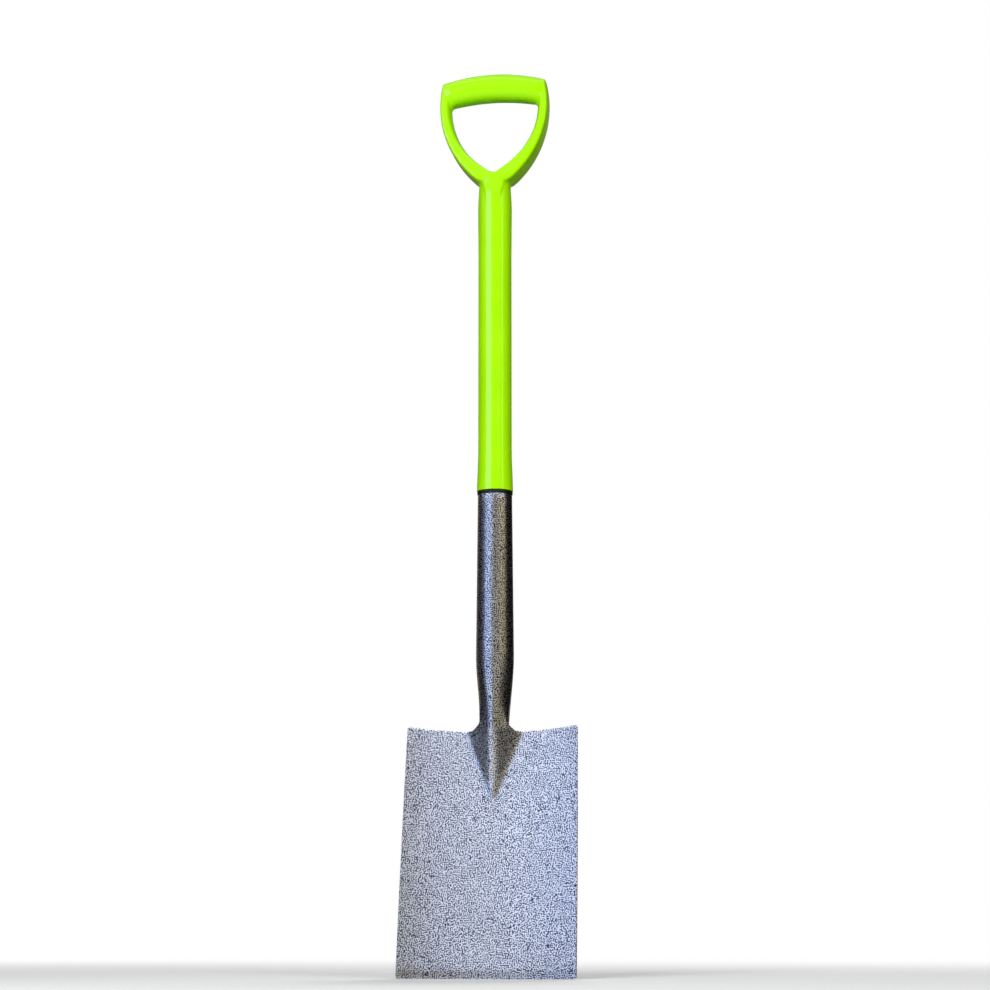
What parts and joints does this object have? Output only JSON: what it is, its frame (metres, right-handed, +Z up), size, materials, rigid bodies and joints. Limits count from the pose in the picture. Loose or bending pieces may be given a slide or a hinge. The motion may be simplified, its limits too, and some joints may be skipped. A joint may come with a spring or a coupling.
{
  "type": "garden spade",
  "caption": "Digging spade with a dished, flat-topped blade, a V-shaped frog on a steel tube socket, a sleeved shaft and a moulded D-grip.",
  "frame": {"origin": "middle of the cutting edge, on the flat end of the blade", "axes": "+Z up along the shaft towards the grip, -Y to the front of the blade, +X across the blade"},
  "size_m": [0.1928, 0.0909, 1.0201],
  "materials": {
    "hammer_coat": "silver and black hammer-finish powder coat over steel",
    "tube_steel": "drawn steel tube",
    "black_plastic": "moulded black plastic",
    "lime_plastic": "smooth moulded lime green plastic",
    "screw_steel": "zinc-plated steel"
  },
  "bodies": {
    "root": {"blade": "hammer_coat", "socket": "hammer_coat", "frog_weld": "hammer_coat", "socket_rivets": "hammer_coat", "shaft_tube": "tube_steel", "collar_ring": "black_plastic", "shaft_sleeve": "lime_plastic", "grip": "lime_plastic", "grip_screw": "screw_steel"}
  },
  "joints": []
}
